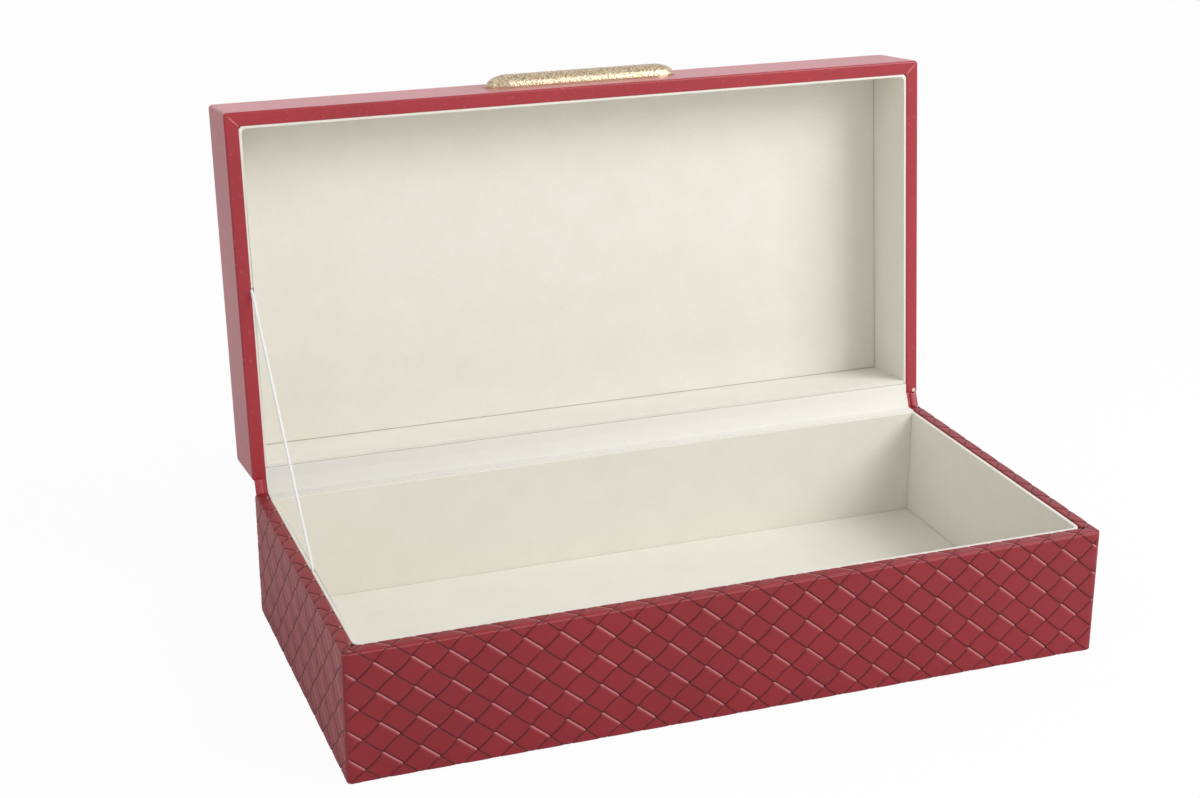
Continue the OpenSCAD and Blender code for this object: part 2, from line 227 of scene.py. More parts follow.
def makeVelvet():
    f = Finish("creamVelvet")
    mottled = f.span(f.noise(velvet["mottle"], 5, 0.7), *middle)
    patches = f.span(f.noise(velvet["patch"], 3), *middle)
    dark = [c * s for c, s in zip(velvet["colour"], velvet["shade"])]
    cream = f.mix(mottled * 0.4 + patches * 0.25, velvet["colour"], dark)
    nap = f.noise(velvet["nap"], 4, 0.7)
    brushed = f.noise(velvet["brushed"], 3, 0.6, (1, 1, 0.35))
    normal = f.bump(nap + brushed * 0.8, velvet["depth"], 0.5)
    return f.surface(
        Base_Color=cream, Roughness=0.95, Normal=normal, Specular_IOR_Level=0.15,
        Sheen_Weight=0.3, Sheen_Roughness=0.5)


hingeCloth = {
    "colour": (0.79, 0.78, 0.72),
    "shade": (0.7, 0.68, 0.62),
    "glue": (0.7, 0.6, 0.4),
    "thread": 0.35 * mm,
    "threadDepth": 0.05 * mm,
    "glueSpot": 4 * mm,
    "buckle": 9 * mm,
    "buckleDepth": 0.4 * mm,
}


def makeHingeCloth():
    f = Finish("hingeCloth")
    threads = f.noise(hingeCloth["thread"], 2, 0.5, (1, 4, 4))
    glue = f.span(f.noise(hingeCloth["glueSpot"], 3, 0.6), 0.66, 0.74)
    cloth = f.mix(f.span(threads, *middle) * 0.4, hingeCloth["colour"], hingeCloth["shade"])
    cloth = f.mix(glue * 0.35, cloth, hingeCloth["glue"])
    buckles = f.bump(f.noise(hingeCloth["buckle"], 2, 0.5, (0.3, 1, 1)), hingeCloth["buckleDepth"], 0.5)
    normal = f.bump(threads, hingeCloth["threadDepth"], 0.6, buckles)
    return f.surface(Base_Color=cloth, Roughness=f.span(glue, 0, 1, (0.8, 0.4)), Normal=normal)


cordWhite = {"light": (0.93, 0.93, 0.92), "dark": (0.76, 0.76, 0.74), "twist": 0.4 * mm, "depth": 0.08 * mm}


def makeCordFinish():
    f = Finish("stayCord")
    twist = f.noise(cordWhite["twist"], 2, 0.5, (2, 1, 1))
    white = f.mix(f.span(twist, *middle), cordWhite["light"], cordWhite["dark"])
    normal = f.bump(twist, cordWhite["depth"], 0.6)
    return f.surface(Base_Color=white, Roughness=0.7, Normal=normal, Sheen_Weight=0.2)


gold = {
    "light": (0.72, 0.6, 0.43),
    "dark": (0.58, 0.46, 0.31),
    # Painted shade in the hollows between the pebbles
    "pitShade": (0.2, 0.14, 0.07),
    "tone": 2 * mm,
    "pebble": 0.7 * mm,
    "pebbleDepth": 0.12 * mm,
    "scratch": 0.5 * mm,
    "scratchDepth": 0.02 * mm,
}


def makeGold(name, pebbled):
    f = Finish(name)
    tint = f.mix(f.span(f.noise(gold["tone"], 3), *middle), gold["light"], gold["dark"])
    if pebbled:
        pebbles = f.cells(gold["pebble"], "SMOOTH_F1")
        # Painted shade darkens the hollows between the pebbles
        tint = f.mix(f.span(pebbles, 0.3, 0.6) * 0.7, tint, gold["pitShade"])
        normal = f.bump(1 - pebbles, gold["pebbleDepth"], 0.7)
        roughness = f.span(pebbles, 0.1, 0.6, (0.24, 0.42))
    else:
        fine = f.noise(gold["scratch"], 3, 0.6, (0.1, 1, 1))
        normal = f.bump(fine, gold["scratchDepth"], 0.3)
        roughness = f.span(fine, *middle, (0.12, 0.22))
    return f.surface(Base_Color=tint, Metallic=1.0, Roughness=roughness, Normal=normal)


steel = {"dark": (0.5, 0.5, 0.51), "light": (0.62, 0.62, 0.63), "scratch": 0.3 * mm, "depth": 0.02 * mm}


def makeSteel():
    f = Finish("zincSteel")
    scratch = f.noise(steel["scratch"], 2, 0.6, (1, 8, 8))
    tint = f.mix(scratch, steel["dark"], steel["light"])
    normal = f.bump(scratch, steel["depth"], 0.4)
    return f.surface(Base_Color=tint, Metallic=1.0, Roughness=0.38, Normal=normal)


fibreboard = {"light": (0.5, 0.36, 0.2), "dark": (0.33, 0.22, 0.11), "flake": 1.2 * mm}
greyCard = {"light": (0.56, 0.5, 0.4), "dark": (0.42, 0.37, 0.29), "flake": 0.8 * mm}
pressed = {"fleck": 0.4 * mm, "depth": 0.08 * mm}


def makeBoard(name, board):
    f = Finish(name)
    flakes = f.span(f.noise(board["flake"], 5, 0.7), *middle)
    tint = f.mix(flakes, board["light"], board["dark"])
    tint = f.mix(f.span(f.noise(pressed["fleck"], 2), 0.55, 0.7) * 0.4, tint, board["dark"])
    return f.surface(Base_Color=tint, Roughness=0.85, Normal=f.bump(flakes, pressed["depth"], 0.5))


# One for each material slot of the record, and the plate's polish
finishes = {
    "board": makeBoard("fibreboard", fibreboard),
    "card": makeBoard("greyCard", greyCard),
    "woven_cover": makeLeathercloth("wovenLeathercloth", wovenCloth, True),
    "plain_cover": makeLeathercloth("plainLeathercloth", plainCloth, False),
    "velvet": makeVelvet(),
    "strip": makeHingeCloth(),
    "cord": makeCordFinish(),
    "gold": makeGold("pebbledGold", True),
    "polish": makeGold("polishedGold", False),
    "tack": makeGold("brassTack", False),
    "steel": makeSteel(),
}
for part in frame["record"]["subparts"]:
    mesh = frame["nodes"][part["node"]].data
    mesh.materials.clear()
    mesh.materials.append(finishes[part["material_slot"]])
frame["nodes"]["pull_plate"].data.materials[0] = finishes["polish"]
print("finishes made")


# Pieces
def piece(name, bm, slot, nodes, body=None, smoothTo=40):
    # Edges sharper than smoothTo, in degrees, stay sharp
    mesh = bpy.data.meshes.new(name)
    bm.to_mesh(mesh)
    bm.free()
    mesh.materials.append(finishes[slot])
    mesh.polygons.foreach_set("use_smooth", [True] * len(mesh.polygons))
    mesh.set_sharp_from_angle(angle=math.radians(smoothTo))
    made = bpy.data.objects.new(name, mesh)
    bpy.context.scene.collection.objects.link(made)
    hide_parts(*nodes)
    if body:
        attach(made, body)
    return made


def thicken(made, thickness):
    # A sheet's thickness goes behind its outer face
    wall = made.modifiers.new("thickness", "SOLIDIFY")
    wall.thickness, wall.offset = thickness, -1


def flattenShading(made):
    made.modifiers.new("flatFaces", "WEIGHTED_NORMAL").keep_sharp = True


def cutAcross(bm, at, normal, geom=None, **clear):
    if geom is None:
        geom = bm.verts[:] + bm.edges[:] + bm.faces[:]
    return bmesh.ops.bisect_plane(bm, geom=geom, dist=cutDistance, plane_co=at, plane_no=normal, **clear)


def nodeCopy(node):
    # A CAD node's mesh, with its triangles joined into flat faces
    bm = bmesh.new()
    bm.from_mesh(frame["nodes"][node].data)
    bmesh.ops.remove_doubles(bm, verts=bm.verts, dist=nodeWeld)
    bmesh.ops.dissolve_limit(bm, angle_limit=flatAngle, verts=bm.verts, edges=bm.edges)
    return bm


def soften(bm, width, segments=3):
    # Rounds every sharp edge
    sharp = [e for e in bm.edges if e.is_manifold and e.calc_face_angle() > sharpAngle]
    bmesh.ops.bevel(
        bm, geom=sharp, offset=width, offset_type="OFFSET", affect="EDGES", segments=segments,
        profile=0.5, material=-1, clamp_overlap=False)
    bmesh.ops.dissolve_degenerate(bm, dist=speck, edges=bm.edges)
    return bm


def softPiece(name, node, width, slot, body):
    # Takes a CAD node's place, with its edges rounded
    flattenShading(piece(name, soften(nodeCopy(node), width), slot, [node], body))


# Woven base cover. Lengths without mm are parts of a tile.
weave = {
    "across": Vector((7.16 * mm, -5.9 * mm)),   # one tile along the strips that fall to the right
    "along": Vector((6.46 * mm, 5.9 * mm)),     # one tile along the strips that rise to the right
    # the mesh's lines across a tile, close together near its edges
    "stops": (0, 0.02, 0.045, 0.09, 0.17, 0.32, 0.5, 0.68, 0.83, 0.91, 0.955, 0.98),
    "groove": 0.34 * mm,
    # lip and endShade also set how far the painted groove shade reaches from a tile's edges and ends
    "lip": 0.02,
    "endLip": 0.012,
    "endShade": 0.03,
    "crown": 0.05 * mm,
    "dip": 0.11 * mm,
    "dipReach": 0.2,
    # Where the painted highlight lies near the edge of a strip that is on top, and how wide it is
    "crestAt": 0.055,
    "crestWidth": 0.028,
    "overlap": 0.035,
    "endShare": 0.8,            # how far a strip's ends bulge, as a part of overlap
    "squareEnd": 0.06,
    "plainGap": 0.4 * mm,       # no relief this near to an upright corner
    "plainEdge": 1.6 * mm,      # and full relief this much further on
    "fadeCurve": 0.7,
    "crease": 0.5 * mm,         # how far the painted highlight line runs below the bend on to the rim
    "creaseReach": 0.05 * mm,   # points this near to the bend get the painted highlight in full
    # how pale the painted highlight along the bend is
    "creaseHighlight": 0.35,
    "under": 5 * mm,
    "downInside": 2.5 * mm,
    "bottom": 0.4 * mm,
    "thickness": 0.2 * mm,
    "margin": 3 * mm,
    "bendCuts": 4,
    "mitreFrom": 0.8,           # the mitre starts at this part of the bend on to the rim
    "flap": 15.15 * mm,
    "flapHalf": 146.95 * mm,
    "smoothTo": 60,
}
bends = {"bottom": 0.7 * mm, "rim": 0.9 * mm, "inside": 0.7 * mm}


def foldPath():
    # The sheet's way from under the base, up the wall, over the rim and down inside
    height = box["baseHeight"] - weave["bottom"] - bends["bottom"] - bends["rim"]
    return [
        ("line", weave["under"] - bends["bottom"]), ("arc", bends["bottom"]),
        ("line", height), ("arc", bends["rim"]),
        ("line", box["baseRim"] - bends["rim"] - bends["inside"]), ("arc", bends["inside"]),
        ("line", weave["downInside"]),
    ]


def foldLengths():
    return [size if kind == "line" else size * math.pi / 2 for kind, size in foldPath()]


def foldAt(distance):
    # (depth behind the wall's face, height) and the outward direction at a length of the path
    at = Vector((weave["under"], weave["bottom"]))
    turn = math.pi
    for (kind, size), length in zip(foldPath(), foldLengths()):
        step = min(distance, length)
        heading = Vector((math.cos(turn), math.sin(turn)))
        side = Vector((-heading.y, heading.x))
        if kind == "line" or step <= 0:
            at = at + heading * step
        else:
            bend = step / size
            at = at + heading * size * math.sin(bend) - side * size * (1 - math.cos(bend))
            turn -= bend
        distance -= length
        if distance <= 0:
            break
    return at, Vector((math.cos(turn + math.pi / 2), math.sin(turn + math.pi / 2)))


def nearEdge(t):
    return min(t, 1 - t)


def isOver(i, j):
    # Whether the strip that falls to the right is on top at tile (i, j)
    return (i + j) % 2 == 1


def tileRelief(i, j, s, t):
    # Height of the weave inside tile (i, j), how much painted shade its groove gets and how much painted
    # highlight its crest gets
    over = isOver(i, j)
    side, end = (nearEdge(t), nearEdge(s)) if over else (nearEdge(s), nearEdge(t))
    crown = -weave["crown"] * (1 - 2 * side) ** 2
    lip = math.exp(-side / weave["lip"])
    fall = max(0.0, 1 - end / weave["dipReach"]) ** 2
    endLip = math.exp(-end / weave["endLip"])
    height = crown - weave["groove"] * lip - weave["dip"] * fall - weave["groove"] * endLip
    shade = max(lip, math.exp(-end / weave["endShade"]))
    paintedHighlight = math.exp(-(((1 - t) - weave["crestAt"]) / weave["crestWidth"]) ** 2) if over else 0.0
    return height, shade, paintedHighlight


def tileShift(i, j, s, t):
    # The strip on top bulges over the ends of its neighbours
    over, reach = isOver(i, j), weave["overlap"]
    square = min(1.0, nearEdge(s) / weave["squareEnd"])
    ds = (2 * s - 1) * reach * math.sin(math.pi * t) * (-1 if over else 1)
    dt = (2 * t - 1) * reach * weave["endShare"] * square * (1 if over else -1)
    return ds, dt


def wovenSheet(start, end, origin):
    # A flat woven sheet, x along the wall and y along the fold, with its relief kept in a layer
    stops, across, along = weave["stops"], weave["across"], weave["along"]
    lengths = foldLengths()
    total = sum(lengths)
    wallStart = sum(lengths[:2]) - weave["bottom"] - bends["bottom"]
    origin = Vector((origin[0], origin[1] + wallStart))
    area = across.x * along.y - across.y * along.x
    corners = [Vector((u, s)) - origin for u in (start, end) for s in (0, total)]
    iValues = [(c.x * along.y - c.y * along.x) / area for c in corners]
    jValues = [(across.x * c.y - across.y * c.x) / area for c in corners]
    iFirst, jFirst = math.floor(min(iValues)) - 1, math.floor(min(jValues)) - 1
    iCount, jCount = math.ceil(max(iValues)) + 1 - iFirst, math.ceil(max(jValues)) + 1 - jFirst
    perTile = len(stops)
    bm = bmesh.new()
    bmesh.ops.create_grid(bm, x_segments=iCount * perTile, y_segments=jCount * perTile, size=1)
    relief = bm.verts.layers.float.new("relief")
    # Painted shade for the grooves, kept in a layer for the finish
    groove = bm.verts.layers.float.new("groove")
    # Painted highlight for the raised edges, kept in a layer for the finish
    paintedHighlight = bm.verts.layers.float.new("paintedHighlight")
    outside = []
    margin = weave["margin"]
    for v in bm.verts:
        a = round((v.co.x + 1) / 2 * iCount * perTile)
        b = round((v.co.y + 1) / 2 * jCount * perTile)
        i, s = iFirst + a // perTile, stops[a % perTile]
        j, t = jFirst + b // perTile, stops[b % perTile]
        ds, dt = tileShift(i, j, s, t)
        spot = origin + (i + s + ds) * across + (j + t + dt) * along
        v[relief], v[groove], v[paintedHighlight] = tileRelief(i, j, s, t)
        v.co = (spot.x, spot.y, 0)
        if not (start - margin < spot.x < end + margin and -margin < spot.y < total + margin):
            outside.append(v)
    bmesh.ops.delete(bm, geom=outside, context="VERTS")
    for at, normal in (((start, 0), (-1, 0)), ((end, 0), (1, 0)), ((0, 0), (0, -1)), ((0, total), (0, 1))):
        cutSheet(bm, at, normal, True)
    cutSheet(bm, (0, sum(lengths[:3]) - weave["crease"]), (0, 1))
    for k, (kind, _) in enumerate(foldPath()):
        if kind == "arc":
            for part in range(weave["bendCuts"] + 1):
                cutSheet(bm, (0, sum(lengths[:k]) + lengths[k] * part / weave["bendCuts"]), (0, 1))
    return bm


def cutSheet(bm, at, normal, clear=False, where=None):
    # Cuts the flat sheet, or only those of its faces that where picks
    geom = None
    if where:
        faces = [f for f in bm.faces if where(f)]
        edges = dict.fromkeys(e for f in faces for e in f.edges)
        corners = dict.fromkeys(v for f in faces for v in f.verts)
        geom = [*faces, *edges, *corners]
    cutAcross(bm, (*at, 0), (*normal, 0), geom, clear_outer=clear)


def foldSheet(bm, halfLength, wall):
    # Bends the flat sheet over the wall, and fades its relief, its painted groove shade and its painted
    # highlight towards the upright corners
    r = box["cornerRadius"]
    relief = bm.verts.layers.float["relief"]
    groove = bm.verts.layers.float["groove"]
    paintedHighlight = bm.verts.layers.float["paintedHighlight"]
    lengths = foldLengths()
    total, onRim = sum(lengths), sum(lengths[:3])
    for v in bm.verts:
        u, s = v.co.x, v.co.y
        at, out = foldAt(min(max(s, 0), total))
        gap = max(0.0, halfLength - abs(u) - weave["plainGap"])
        fade = min(1.0, gap / weave["plainEdge"]) ** weave["fadeCurve"]
        side = 1 if u > 0 else -1
        arc = max(0.0, abs(u) - (halfLength - r)) / r
        depth = at.x + out.x * v[relief] * fade
        if arc > 0 and depth < r:
            x = side * (halfLength - r + (r - depth) * math.sin(arc))
            y = -r + (r - depth) * math.cos(arc)
        else:
            x, y = u, -depth
        height = at.y + out.y * v[relief] * fade
        v[groove] *= fade
        v[paintedHighlight] *= fade
        # Painted highlight along the bend on to the rim
        if abs(s - onRim) < weave["creaseReach"]:
            v[paintedHighlight] = max(v[paintedHighlight], weave["creaseHighlight"])
        v.co = wall @ Vector((x, y, height))
    bmesh.ops.remove_doubles(bm, verts=bm.verts, dist=weld)


def mitreSheet(bm, side, halfLength, slit):
    # Cuts the part over the rim along the diagonal, and inside the box along its corner
    lengths = foldLengths()
    onRim = sum(lengths[:3])
    rimTop = onRim + lengths[3] - bends["rim"]
    mitreFrom = onRim + lengths[3] * weave["mitreFrom"]
    insideFrom = onRim + sum(lengths[3:5]) + hair
    corner = (side * (halfLength - slit), rimTop)
    cutSheet(bm, corner, (side, 1), True, lambda f: f.calc_center_median().y > mitreFrom)
    inner = side * (halfLength - box["baseRim"] - slit)
    cutSheet(bm, (inner, 0), (side, 0), True, lambda f: f.calc_center_median().y > insideFrom)


def sheetReach(halfLength):
    # Each wall's sheet ends in the middle of its upright corners
    return halfLength - box["cornerRadius"] * (1 - math.pi / 4)


def foldedPiece(name, bm, angle, halfLength, distance):
    # In the wall's own frame, x runs to the right, seen from outside, and y points outwards
    right = Vector((math.cos(angle), math.sin(angle), 0))
    outward = Vector((math.sin(angle), -math.cos(angle), 0))
    turn = Matrix((right, outward, up)).transposed().to_4x4()
    foldSheet(bm, halfLength, Matrix.Translation(outward * distance) @ turn)
    bmesh.ops.recalc_face_normals(bm, faces=bm.faces)
    if sum(f.normal.dot(outward) * f.calc_area() for f in bm.faces) < 0:
        bmesh.ops.reverse_faces(bm, faces=bm.faces)
    made = piece(name, bm, "woven_cover", ["base_woven_cover"], "base", weave["smoothTo"])
    thicken(made, weave["thickness"])


# origin is where a tile starts, from the wall's middle and the table. slits are the mitres'
# half widths at the wall's left (-1) and right (1) ends, and the rear ends have no mitre.
openSlit, shutSlit = 0.35 * mm, 0.05 * mm
wovenWalls = {
    "woven_front": {
        "angle": 0, "halfLength": box["halfWidth"], "distance": box["halfDepth"],
        "origin": (10.94 * mm, 46.5 * mm), "slits": {-1: openSlit, 1: shutSlit}},
    "woven_left": {
        "angle": -math.pi / 2, "halfLength": box["halfDepth"], "distance": box["halfWidth"],
        "origin": (-74.03 * mm, 37.65 * mm), "slits": {1: openSlit}},
    "woven_right": {
        "angle": math.pi / 2, "halfLength": box["halfDepth"], "distance": box["halfWidth"],
        "origin": (3 * mm, 40 * mm), "slits": {-1: shutSlit}},
}
backOrigin = (4 * mm, 31 * mm)


def wovenWall(name, wall):
    reach = sheetReach(wall["halfLength"])
    bm = wovenSheet(-reach, reach, wall["origin"])
    for side, slit in wall["slits"].items():
        mitreSheet(bm, side, wall["halfLength"], slit)
    foldedPiece(name, bm, wall["angle"], wall["halfLength"], wall["distance"])


def wovenBack():
    # The back has no cover over its rim, and leaves room for the hinge spine's flap
    flapHalf = weave["flapHalf"]
    reach = sheetReach(box["halfWidth"])
    bm = wovenSheet(-reach, reach, backOrigin)
    top = sum(foldLengths()[:4]) - bends["rim"] * (math.pi / 2 - 1)
    low = top - weave["flap"]
    cutSheet(bm, (0, top), (0, 1), True)
    cutSheet(bm, (0, low), (0, 1))
    for side in (-1, 1):
        cutSheet(bm, (side * flapHalf, 0), (side, 0))
    centres = {f: f.calc_center_median() for f in bm.faces}
    room = [f for f, c in centres.items() if c.y > low and abs(c.x) < flapHalf]
    bmesh.ops.delete(bm, geom=room, context="FACES")
    foldedPiece("woven_back", bm, math.pi, box["halfWidth"], box["halfDepth"])


for name, wall in wovenWalls.items():
    wovenWall(name, wall)
wovenBack()
print("woven cover made")

# Lid cover: one sheet round the walls and over the rim, with raised mitre folds that carry a painted
# highlight
plain = {
    "rim": 5.6 * mm,
    "downInside": 3 * mm,
    "rimEdge": 0.9 * mm,
    "innerEdge": 0.5 * mm,
    "topEdge": 1.1 * mm,
    "thickness": 0.5 * mm,
    "fold": 0.12 * mm,
    "foldWidth": 0.3 * mm,
    "flap": 15.15 * mm,
    "flapHalf": 147 * mm,
    "wallReach": 1 * mm,    # faces this near to the rear are on its wall
    "rimReach": 0.1 * mm,   # and this much past the rim's width still on the rim
    "edgeSteps": 5,
    "cornerSteps": 6,
    "sideSteps": 24,
    "smoothTo": 60,
}
planCorners = ((1, -1), (1, 1), (-1, 1), (-1, -1))   # anticlockwise from the right front


def roundEdge(centre, radius, first):
    # Profile points (inset, height) on a quarter turn, clockwise from the angle first
    steps = plain["edgeSteps"]
    angles = [math.radians(first - 90 * k / steps) for k in range(steps + 1)]
    return [Vector((centre[0] + radius * math.cos(a), centre[1] + radius * math.sin(a))) for a in angles]


def planLoop(inset):
    # Points round the box's plan, each corner's arc first and then the side after it. rest is
    # what the inset leaves of the corner's radius, and reach is how far in the arc's centre is.
    rest, reach = max(box["cornerRadius"] - inset, 0), max(box["cornerRadius"], inset)
    half = Vector((box["halfWidth"], box["halfDepth"]))
    steps, count = plain["cornerSteps"], plain["sideSteps"]
    arcs = []
    for k, (sx, sy) in enumerate(planCorners):
        centre = Vector((sx * (half.x - reach), sy * (half.y - reach)))
        angles = [math.radians(-90 + 90 * k + 90 * m / steps) for m in range(steps + 1)]
        arcs.append([centre + rest * Vector((math.cos(a), math.sin(a))) for a in angles])
    points = []
    for k, arc in enumerate(arcs):
        start, end = arc[-1], arcs[(k + 1) % len(arcs)][0]
        way = end - start
        near = plain["foldWidth"] / way.length
        points += arc
        points += [start + way * (near + (1 - 2 * near) * m / count) for m in range(count + 1)]
    return points


def lidSheet():
    # Round the plan, and from inside the rim over it and up to the lid's top
    rim, edge, inner, top = plain["rim"], plain["rimEdge"], plain["innerEdge"], plain["topEdge"]
    profile = [Vector((rim, plain["downInside"]))]
    profile += roundEdge((rim - inner, inner), inner, 0)
    profile += roundEdge((edge, edge), edge, 270)
    profile += roundEdge((top, box["lidHeight"] - top), top, 180)
    loops = [planLoop(p.x) for p in profile]
    around, rows = len(loops[0]), len(profile) - 1
    perCorner = plain["cornerSteps"] + plain["sideSteps"] + 2
    bm = bmesh.new()
    bmesh.ops.create_grid(bm, x_segments=around, y_segments=rows, size=1)
    paintedHighlight = bm.verts.layers.float.new("paintedHighlight")
    for v in bm.verts:
        a = round((v.co.x + 1) / 2 * around) % around
        b = round((v.co.y + 1) / 2 * rows)
        spot, height = loops[b][a], profile[b].y
        onFold = a % perCorner <= plain["cornerSteps"] and spot.y < 0
        if onFold and profile[b].x > box["cornerRadius"] and height < inner:
            height -= plain["fold"]
            # The fold's points get the painted highlight
            v[paintedHighlight] = 1
        v.co = (spot.x, spot.y, height)
    bmesh.ops.remove_doubles(bm, verts=bm.verts, dist=weld)
    return bm


def clearRear(bm):
    # Takes away what the hinge spine's flap covers, and the sheet over the rear rim
    innerHalf = box["halfWidth"] - plain["rim"]
    wallFrom = box["halfDepth"] - plain["wallReach"]
    rimFrom = box["halfDepth"] - plain["rim"] - plain["rimReach"]
    for side in (-1, 1):
        for reach in (plain["flapHalf"], innerHalf):
            cutAcross(bm, (side * reach, 0, 0), (1, 0, 0))
    cutAcross(bm, (0, 0, plain["flap"]), up)
    spare = []
    for f in bm.faces:
        c = f.calc_center_median()
        onFlap = c.y > wallFrom and c.z < plain["flap"] and abs(c.x) < plain["flapHalf"]
        onRim = c.y > rimFrom and c.z < plain["downInside"]
        if onFlap or (onRim and abs(c.x) < innerHalf):
            spare.append(f)
    bmesh.ops.delete(bm, geom=spare, context="FACES")


def makeLidCover():
    bm = lidSheet()
    clearRear(bm)
    topHeight = box["lidHeight"] - hair
    topEdges = [e for e in bm.edges if e.is_boundary and min(v.co.z for v in e.verts) > topHeight]
    bmesh.ops.edgeloop_fill(bm, edges=topEdges)
    bmesh.ops.recalc_face_normals(bm, faces=bm.faces)
    if max(bm.faces, key=lambda f: f.calc_area()).normal.z < 0:
        bmesh.ops.reverse_faces(bm, faces=bm.faces)
    bm.transform(inLid())
    made = piece("lid_leathercloth", bm, "plain_cover", ["lid_cover"], "lid", plain["smoothTo"])
    thicken(made, plain["thickness"])
    flattenShading(made)


makeLidCover()

# Linings, with soft edges
lining = {"wallEdge": 0.24 * mm, "flatEdge": 0.25 * mm}
for half in ("base", "lid"):
    for place in ("wall", "back"):
        softPiece(f"{half}_{place}_lining", f"{half}_{place}_velvet", lining["wallEdge"], "velvet", half)
softPiece("base_floor_lining", "base_floor_velvet", lining["flatEdge"], "velvet", "base")
softPiece("lid_top_lining", "lid_top_velvet", lining["flatEdge"], "velvet", "lid")
print("lid cover and linings made")

# Hinge: the spine, the cloth inside and the two ends bend between the base and the lid
rimLine = Vector((0, box["halfDepth"], box["baseHeight"]))
hinge = {
    "cuts": 6,
    "spineEdge": 0.2 * mm,
    "spineBend": (rimLine, rimLine + Vector((0, 3.2 * mm, 3.2 * mm))),
    "clothEdge": 0.12 * mm,
    "clothBend": (rimLine + up * 0.3 * mm, rimLine + up * 4.6 * mm),
    "endBend": (Vector((0, 73.1 * mm, 51.3 * mm)), Vector((0, 75.7 * mm, 57 * mm))),
    "endWidth": 3.2 * mm,
    "endThickness": 1.4 * mm,
    "endX": 147.7 * mm,
    "endEdge": 0.5 * mm,
}


def hingePiece(name, node, edge, slot, bend):
    start, end = bend
    bm = nodeCopy(node)
    for k in range(hinge["cuts"] + 1):
        cutAcross(bm, start.lerp(end, k / hinge["cuts"]), (end - start).normalized())
    soften(bm, edge, 2)
    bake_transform(piece(name, bm, slot, [node]), "base", "lid", start=start, end=end)


def hingeEnd(name, side):
    # The end of the turned leathercloth, which closes the hinge beside the spine
    low, high = hinge["endBend"]
    cuts = hinge["cuts"]
    bm = bmesh.new()
    bmesh.ops.create_cube(bm, size=1)
    for k in range(1, cuts):
        cutAcross(bm, (0, 0, k / cuts - 0.5), up)
    length = (high - low).length
    bmesh.ops.scale(bm, verts=bm.verts, vec=(hinge["endWidth"], hinge["endThickness"], length))
    tilt = math.atan2(high.y - low.y, high.z - low.z)
    bmesh.ops.rotate(bm, verts=bm.verts, matrix=Matrix.Rotation(-tilt, 3, "X"))
    centre = (low + high) / 2 + Vector((side * hinge["endX"], 0, 0))
    bmesh.ops.translate(bm, verts=bm.verts, vec=centre)
    soften(bm, hinge["endEdge"], 3)
    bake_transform(piece(name, bm, "plain_cover", ["hinge_spine"]), "base", "lid", start=low, end=high)


hingePiece("spine_leathercloth", "hinge_spine", hinge["spineEdge"], "plain_cover", hinge["spineBend"])
hingePiece("hinge_cloth", "hinge_inner_strip", hinge["clothEdge"], "strip", hinge["clothBend"])
hingeEnd("hinge_end_left", -1)
hingeEnd("hinge_end_right", 1)

# Cord stay, held behind both linings
stay = {
    "diameter": 1.2 * mm,
    "reach": 78 * mm,      # from the box's rear
    "tail": 13 * mm,       # hidden behind each lining
    "baseX": -143.95 * mm,
    "lidX": -144.35 * mm,
    "bend": 1.6 * mm,
    "bendSteps": 6,
    "straightSteps": 40,
}


def stayBend(before, corner, after):
    # Points on the curve round a rim
    steps = stay["bendSteps"]
    parts = [k / steps for k in range(1, steps)]
    return [(1 - t) ** 2 * before + 2 * t * (1 - t) * corner + t * t * after for t in parts]


def stayLine(points):
    # The cord's mesh, from a round line through the points
    curve = bpy.data.curves.new("stay_line", "CURVE")
    curve.dimensions = "3D"
    spline = curve.splines.new("POLY")
    spline.points.add(len(points) - 1)
    for spot, p in zip(spline.points, points):
        spot.co = (*p, 1)
    curve.bevel_depth, curve.bevel_resolution, curve.use_fill_caps = stay["diameter"] / 2, 3, True
    line = bpy.data.objects.new("stay_line", curve)
    bpy.context.scene.collection.objects.link(line)
    bpy.context.view_layer.update()
    mesh = bpy.data.meshes.new_from_object(line)
    bpy.data.objects.remove(line)
    bm = bmesh.new()
    bm.from_mesh(mesh)
    return bm


def makeStay():
    lid = inLid()
    y = box["halfDepth"] - stay["reach"]
    low = Vector((stay["baseX"], y, box["baseHeight"]))
    high = lid @ Vector((stay["lidX"], y, 0))
    tailEnd = lid @ Vector((stay["lidX"], y, stay["tail"]))
    way = (high - low).normalized()
    inwards = (tailEnd - high).normalized()
    bend, count = stay["bend"], stay["straightSteps"]
    first, last = low + way * bend * 2, high - way * bend * 2
    points = [low - up * stay["tail"], low - up * bend * 2]
    points += stayBend(low - up * bend, low, low + way * bend)
    points += [first.lerp(last, k / count) for k in range(count + 1)]
    points += stayBend(high - way * bend, high, high + inwards * bend)
    points += [high + inwards * bend * 2, tailEnd]
    made = piece("cord_stay", stayLine(points), "cord", ["stay_cord"])
    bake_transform(made, "base", "lid", start=low, end=high)
    length = sum((b - a).length for a, b in zip(points, points[1:]))


makeStay()
print("hinge and cord made")

# Pull: a pebbled dome with long round ends on its polished plate
pull = {
    "length": 82 * mm,
    "width": 12 * mm,
    "height": 4.4 * mm,
    "end": 9.5 * mm,
    "shift": 2 * mm,         # to the right of the lid's middle
    "plate": 0.8 * mm,
    "pebble": 0.95 * mm,
    "relief": 0.1 * mm,
    "smoothFoot": 0.8 * mm,  # the pebbles fade in over this height
    "rings": (48, 32),
    "lengthCuts": 120,
    "smoothTo": 60,
}
tackEdge = 0.1 * mm
nearZero = 1e-6


